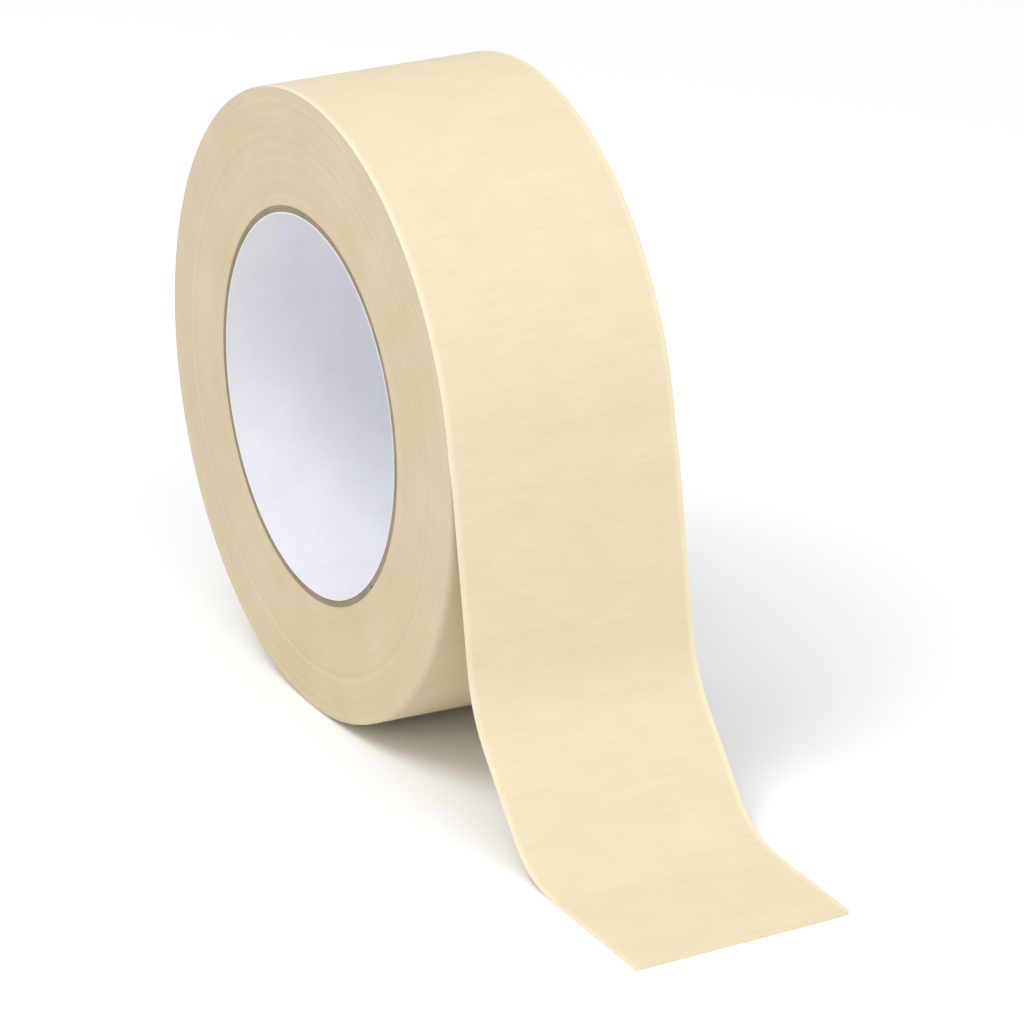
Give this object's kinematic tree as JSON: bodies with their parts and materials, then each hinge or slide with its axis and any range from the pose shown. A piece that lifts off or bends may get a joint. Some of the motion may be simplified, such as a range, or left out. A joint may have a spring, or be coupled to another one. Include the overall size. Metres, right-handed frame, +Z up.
{
  "type": "masking tape roll",
  "caption": "Roll of cream crepe paper masking tape on a white-lined card core, standing on its edge with its loose end run down to the floor.",
  "frame": {"origin": "the point on the floor right below the middle of the roll's axis, where the standing roll touches", "axes": "+Z up, the roll's axis along Y, +X towards the loose end"},
  "size_m": [0.2027, 0.048, 0.126],
  "materials": {
    "wound_tape": "cream crepe paper, matt, many turns seen edge on at the sides",
    "loose_end": "cream crepe paper, matt, with a clear adhesive coat on the inner side",
    "core_liner": "smooth white liner paper",
    "core_board": "grey-brown core board, cut edge"
  },
  "bodies": {
    "roll": {"wound_tape": "wound_tape", "core_liner": "core_liner", "core_inner_ply": "core_board", "core_outer_ply": "core_board"},
    "loose_end_01": {"loose_end_01": "loose_end"},
    "loose_end_02": {"loose_end_02": "loose_end"},
    "loose_end_03": {"loose_end_03": "loose_end"},
    "loose_end_04": {"loose_end_04": "loose_end"},
    "loose_end_05": {"loose_end_05": "loose_end"},
    "loose_end_06": {"loose_end_06": "loose_end"},
    "loose_end_07": {"loose_end_07": "loose_end"}
  },
  "joints": [
    {"name": "loose_end_lift", "type": "hinge", "parent": "roll", "child": "loose_end_01", "pos_m": [0.06231, 0, 0.07455], "axis": [0, -1, 0], "range_deg": [0, 120], "stiffness_Nm_per_rad": 0.0003},
    {"name": "loose_end_curl", "type": "hinge", "parent": "loose_end_01", "child": "loose_end_02", "pos_m": [0.06537, 0, 0.05803], "axis": [0, -1, 0], "range_deg": [-17.8, 6], "stiffness_Nm_per_rad": 0.0003},
    {"name": "loose_end_curl_03", "type": "hinge", "parent": "loose_end_02", "child": "loose_end_03", "pos_m": [0.06843, 0, 0.04151], "axis": [0, -1, 0], "range_deg": [-22.46, 7.57], "stiffness_Nm_per_rad": 0.0003},
    {"name": "loose_end_curl_04", "type": "hinge", "parent": "loose_end_03", "child": "loose_end_04", "pos_m": [0.07149, 0, 0.02499], "axis": [0, -1, 0], "range_deg": [-40.83, 13.77], "stiffness_Nm_per_rad": 0.0003},
    {"name": "loose_end_curl_05", "type": "hinge", "parent": "loose_end_04", "child": "loose_end_05", "pos_m": [0.08353, 0, 0.01253], "axis": [0, -1, 0], "range_deg": [-24.36, 8.22], "stiffness_Nm_per_rad": 0.0003},
    {"name": "loose_end_curl_06", "type": "hinge", "parent": "loose_end_05", "child": "loose_end_06", "pos_m": [0.09556, 0, 0.00007], "axis": [0, -1, 0], "range_deg": [-53.95, 18.19], "stiffness_Nm_per_rad": 0.0003},
    {"name": "loose_end_curl_07", "type": "hinge", "parent": "loose_end_06", "child": "loose_end_07", "pos_m": [0.11756, 0, 0.00007], "axis": [0, -1, 0], "range_deg": [-23.9, 8.06], "stiffness_Nm_per_rad": 0.0003}
  ],
  "couplings": [
    {"joint": "loose_end_curl_03", "follows": "loose_end_curl", "ratio": 1.2369},
    {"joint": "loose_end_curl_04", "follows": "loose_end_curl", "ratio": 2.2488},
    {"joint": "loose_end_curl_05", "follows": "loose_end_curl", "ratio": 1.3417},
    {"joint": "loose_end_curl_06", "follows": "loose_end_curl", "ratio": 2.9714},
    {"joint": "loose_end_curl_07", "follows": "loose_end_curl", "ratio": 1.3161}
  ]
}
